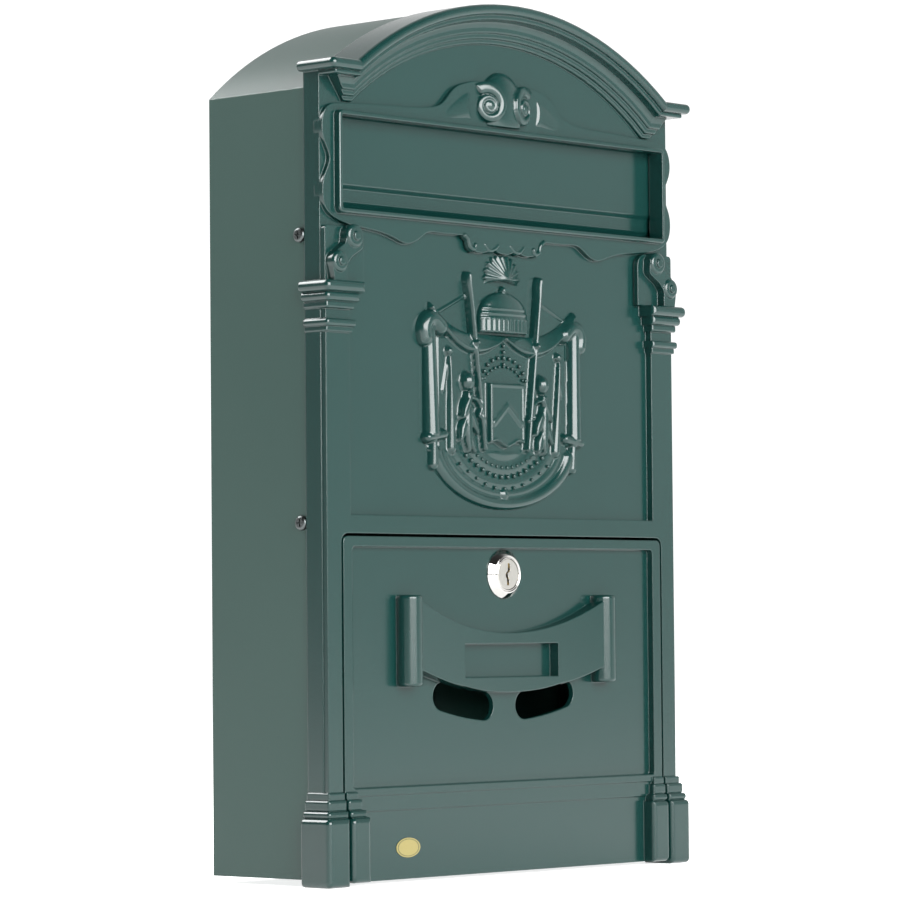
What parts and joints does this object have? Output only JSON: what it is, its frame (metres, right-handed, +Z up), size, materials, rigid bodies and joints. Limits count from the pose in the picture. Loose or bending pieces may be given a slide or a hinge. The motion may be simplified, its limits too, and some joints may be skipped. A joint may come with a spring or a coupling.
{
  "type": "post box",
  "caption": "Wall-hung post box with an arched cast front, inward letter flap, drop-down locking door and a folded sheet case.",
  "frame": {"origin": "centre of the four wall fixing holes, on the back face of the case", "axes": "+X to the right seen from the front, +Y out of the back face into the wall, +Z up"},
  "size_m": [0.2556, 0.0859, 0.41],
  "materials": {
    "cast_green": "semi-gloss powder coat on die casting",
    "sheet_green": "fine textured powder coat on sheet steel",
    "screw_dark": "black zinc",
    "zinc_steel": "bright zinc",
    "lock_chrome": "polished nickel chrome",
    "plug_nickel": "satin nickel",
    "wafer_brass": "raw",
    "label_gold": "metallic foil"
  },
  "bodies": {
    "case": {"front_casting": "cast_green", "case_wrap": "sheet_green", "roof_sheet": "sheet_green", "floor_panel": "sheet_green", "case_screws": "screw_dark", "flap_rod": "zinc_steel", "flap_rod_clips": "zinc_steel", "door_hinge_pin_left": "zinc_steel", "door_hinge_pin_right": "zinc_steel"},
    "flap": {"flap_plate": "cast_green"},
    "door": {"door_casting": "cast_green", "maker_label": "label_gold", "lock_body": "lock_chrome", "lock_washer": "zinc_steel", "lock_nut": "zinc_steel"},
    "lock_core": {"lock_plug": "plug_nickel", "lock_wafers": "wafer_brass", "lock_cam": "zinc_steel", "cam_washer": "zinc_steel", "cam_screw": "zinc_steel"}
  },
  "joints": [
    {"name": "flap_swing", "type": "hinge", "parent": "case", "child": "flap", "pos_m": [0, -0.068, 0.149], "axis": [1, 0, 0], "range_deg": [0, 70]},
    {"name": "door_swing", "type": "hinge", "parent": "case", "child": "door", "pos_m": [0, -0.0747, -0.1985], "axis": [1, 0, 0], "range_deg": [0, 95]},
    {"name": "key_turn", "type": "hinge", "parent": "door", "child": "lock_core", "pos_m": [0, -0.065, -0.0636], "axis": [0, -1, 0], "range_deg": [0, 90]}
  ]
}
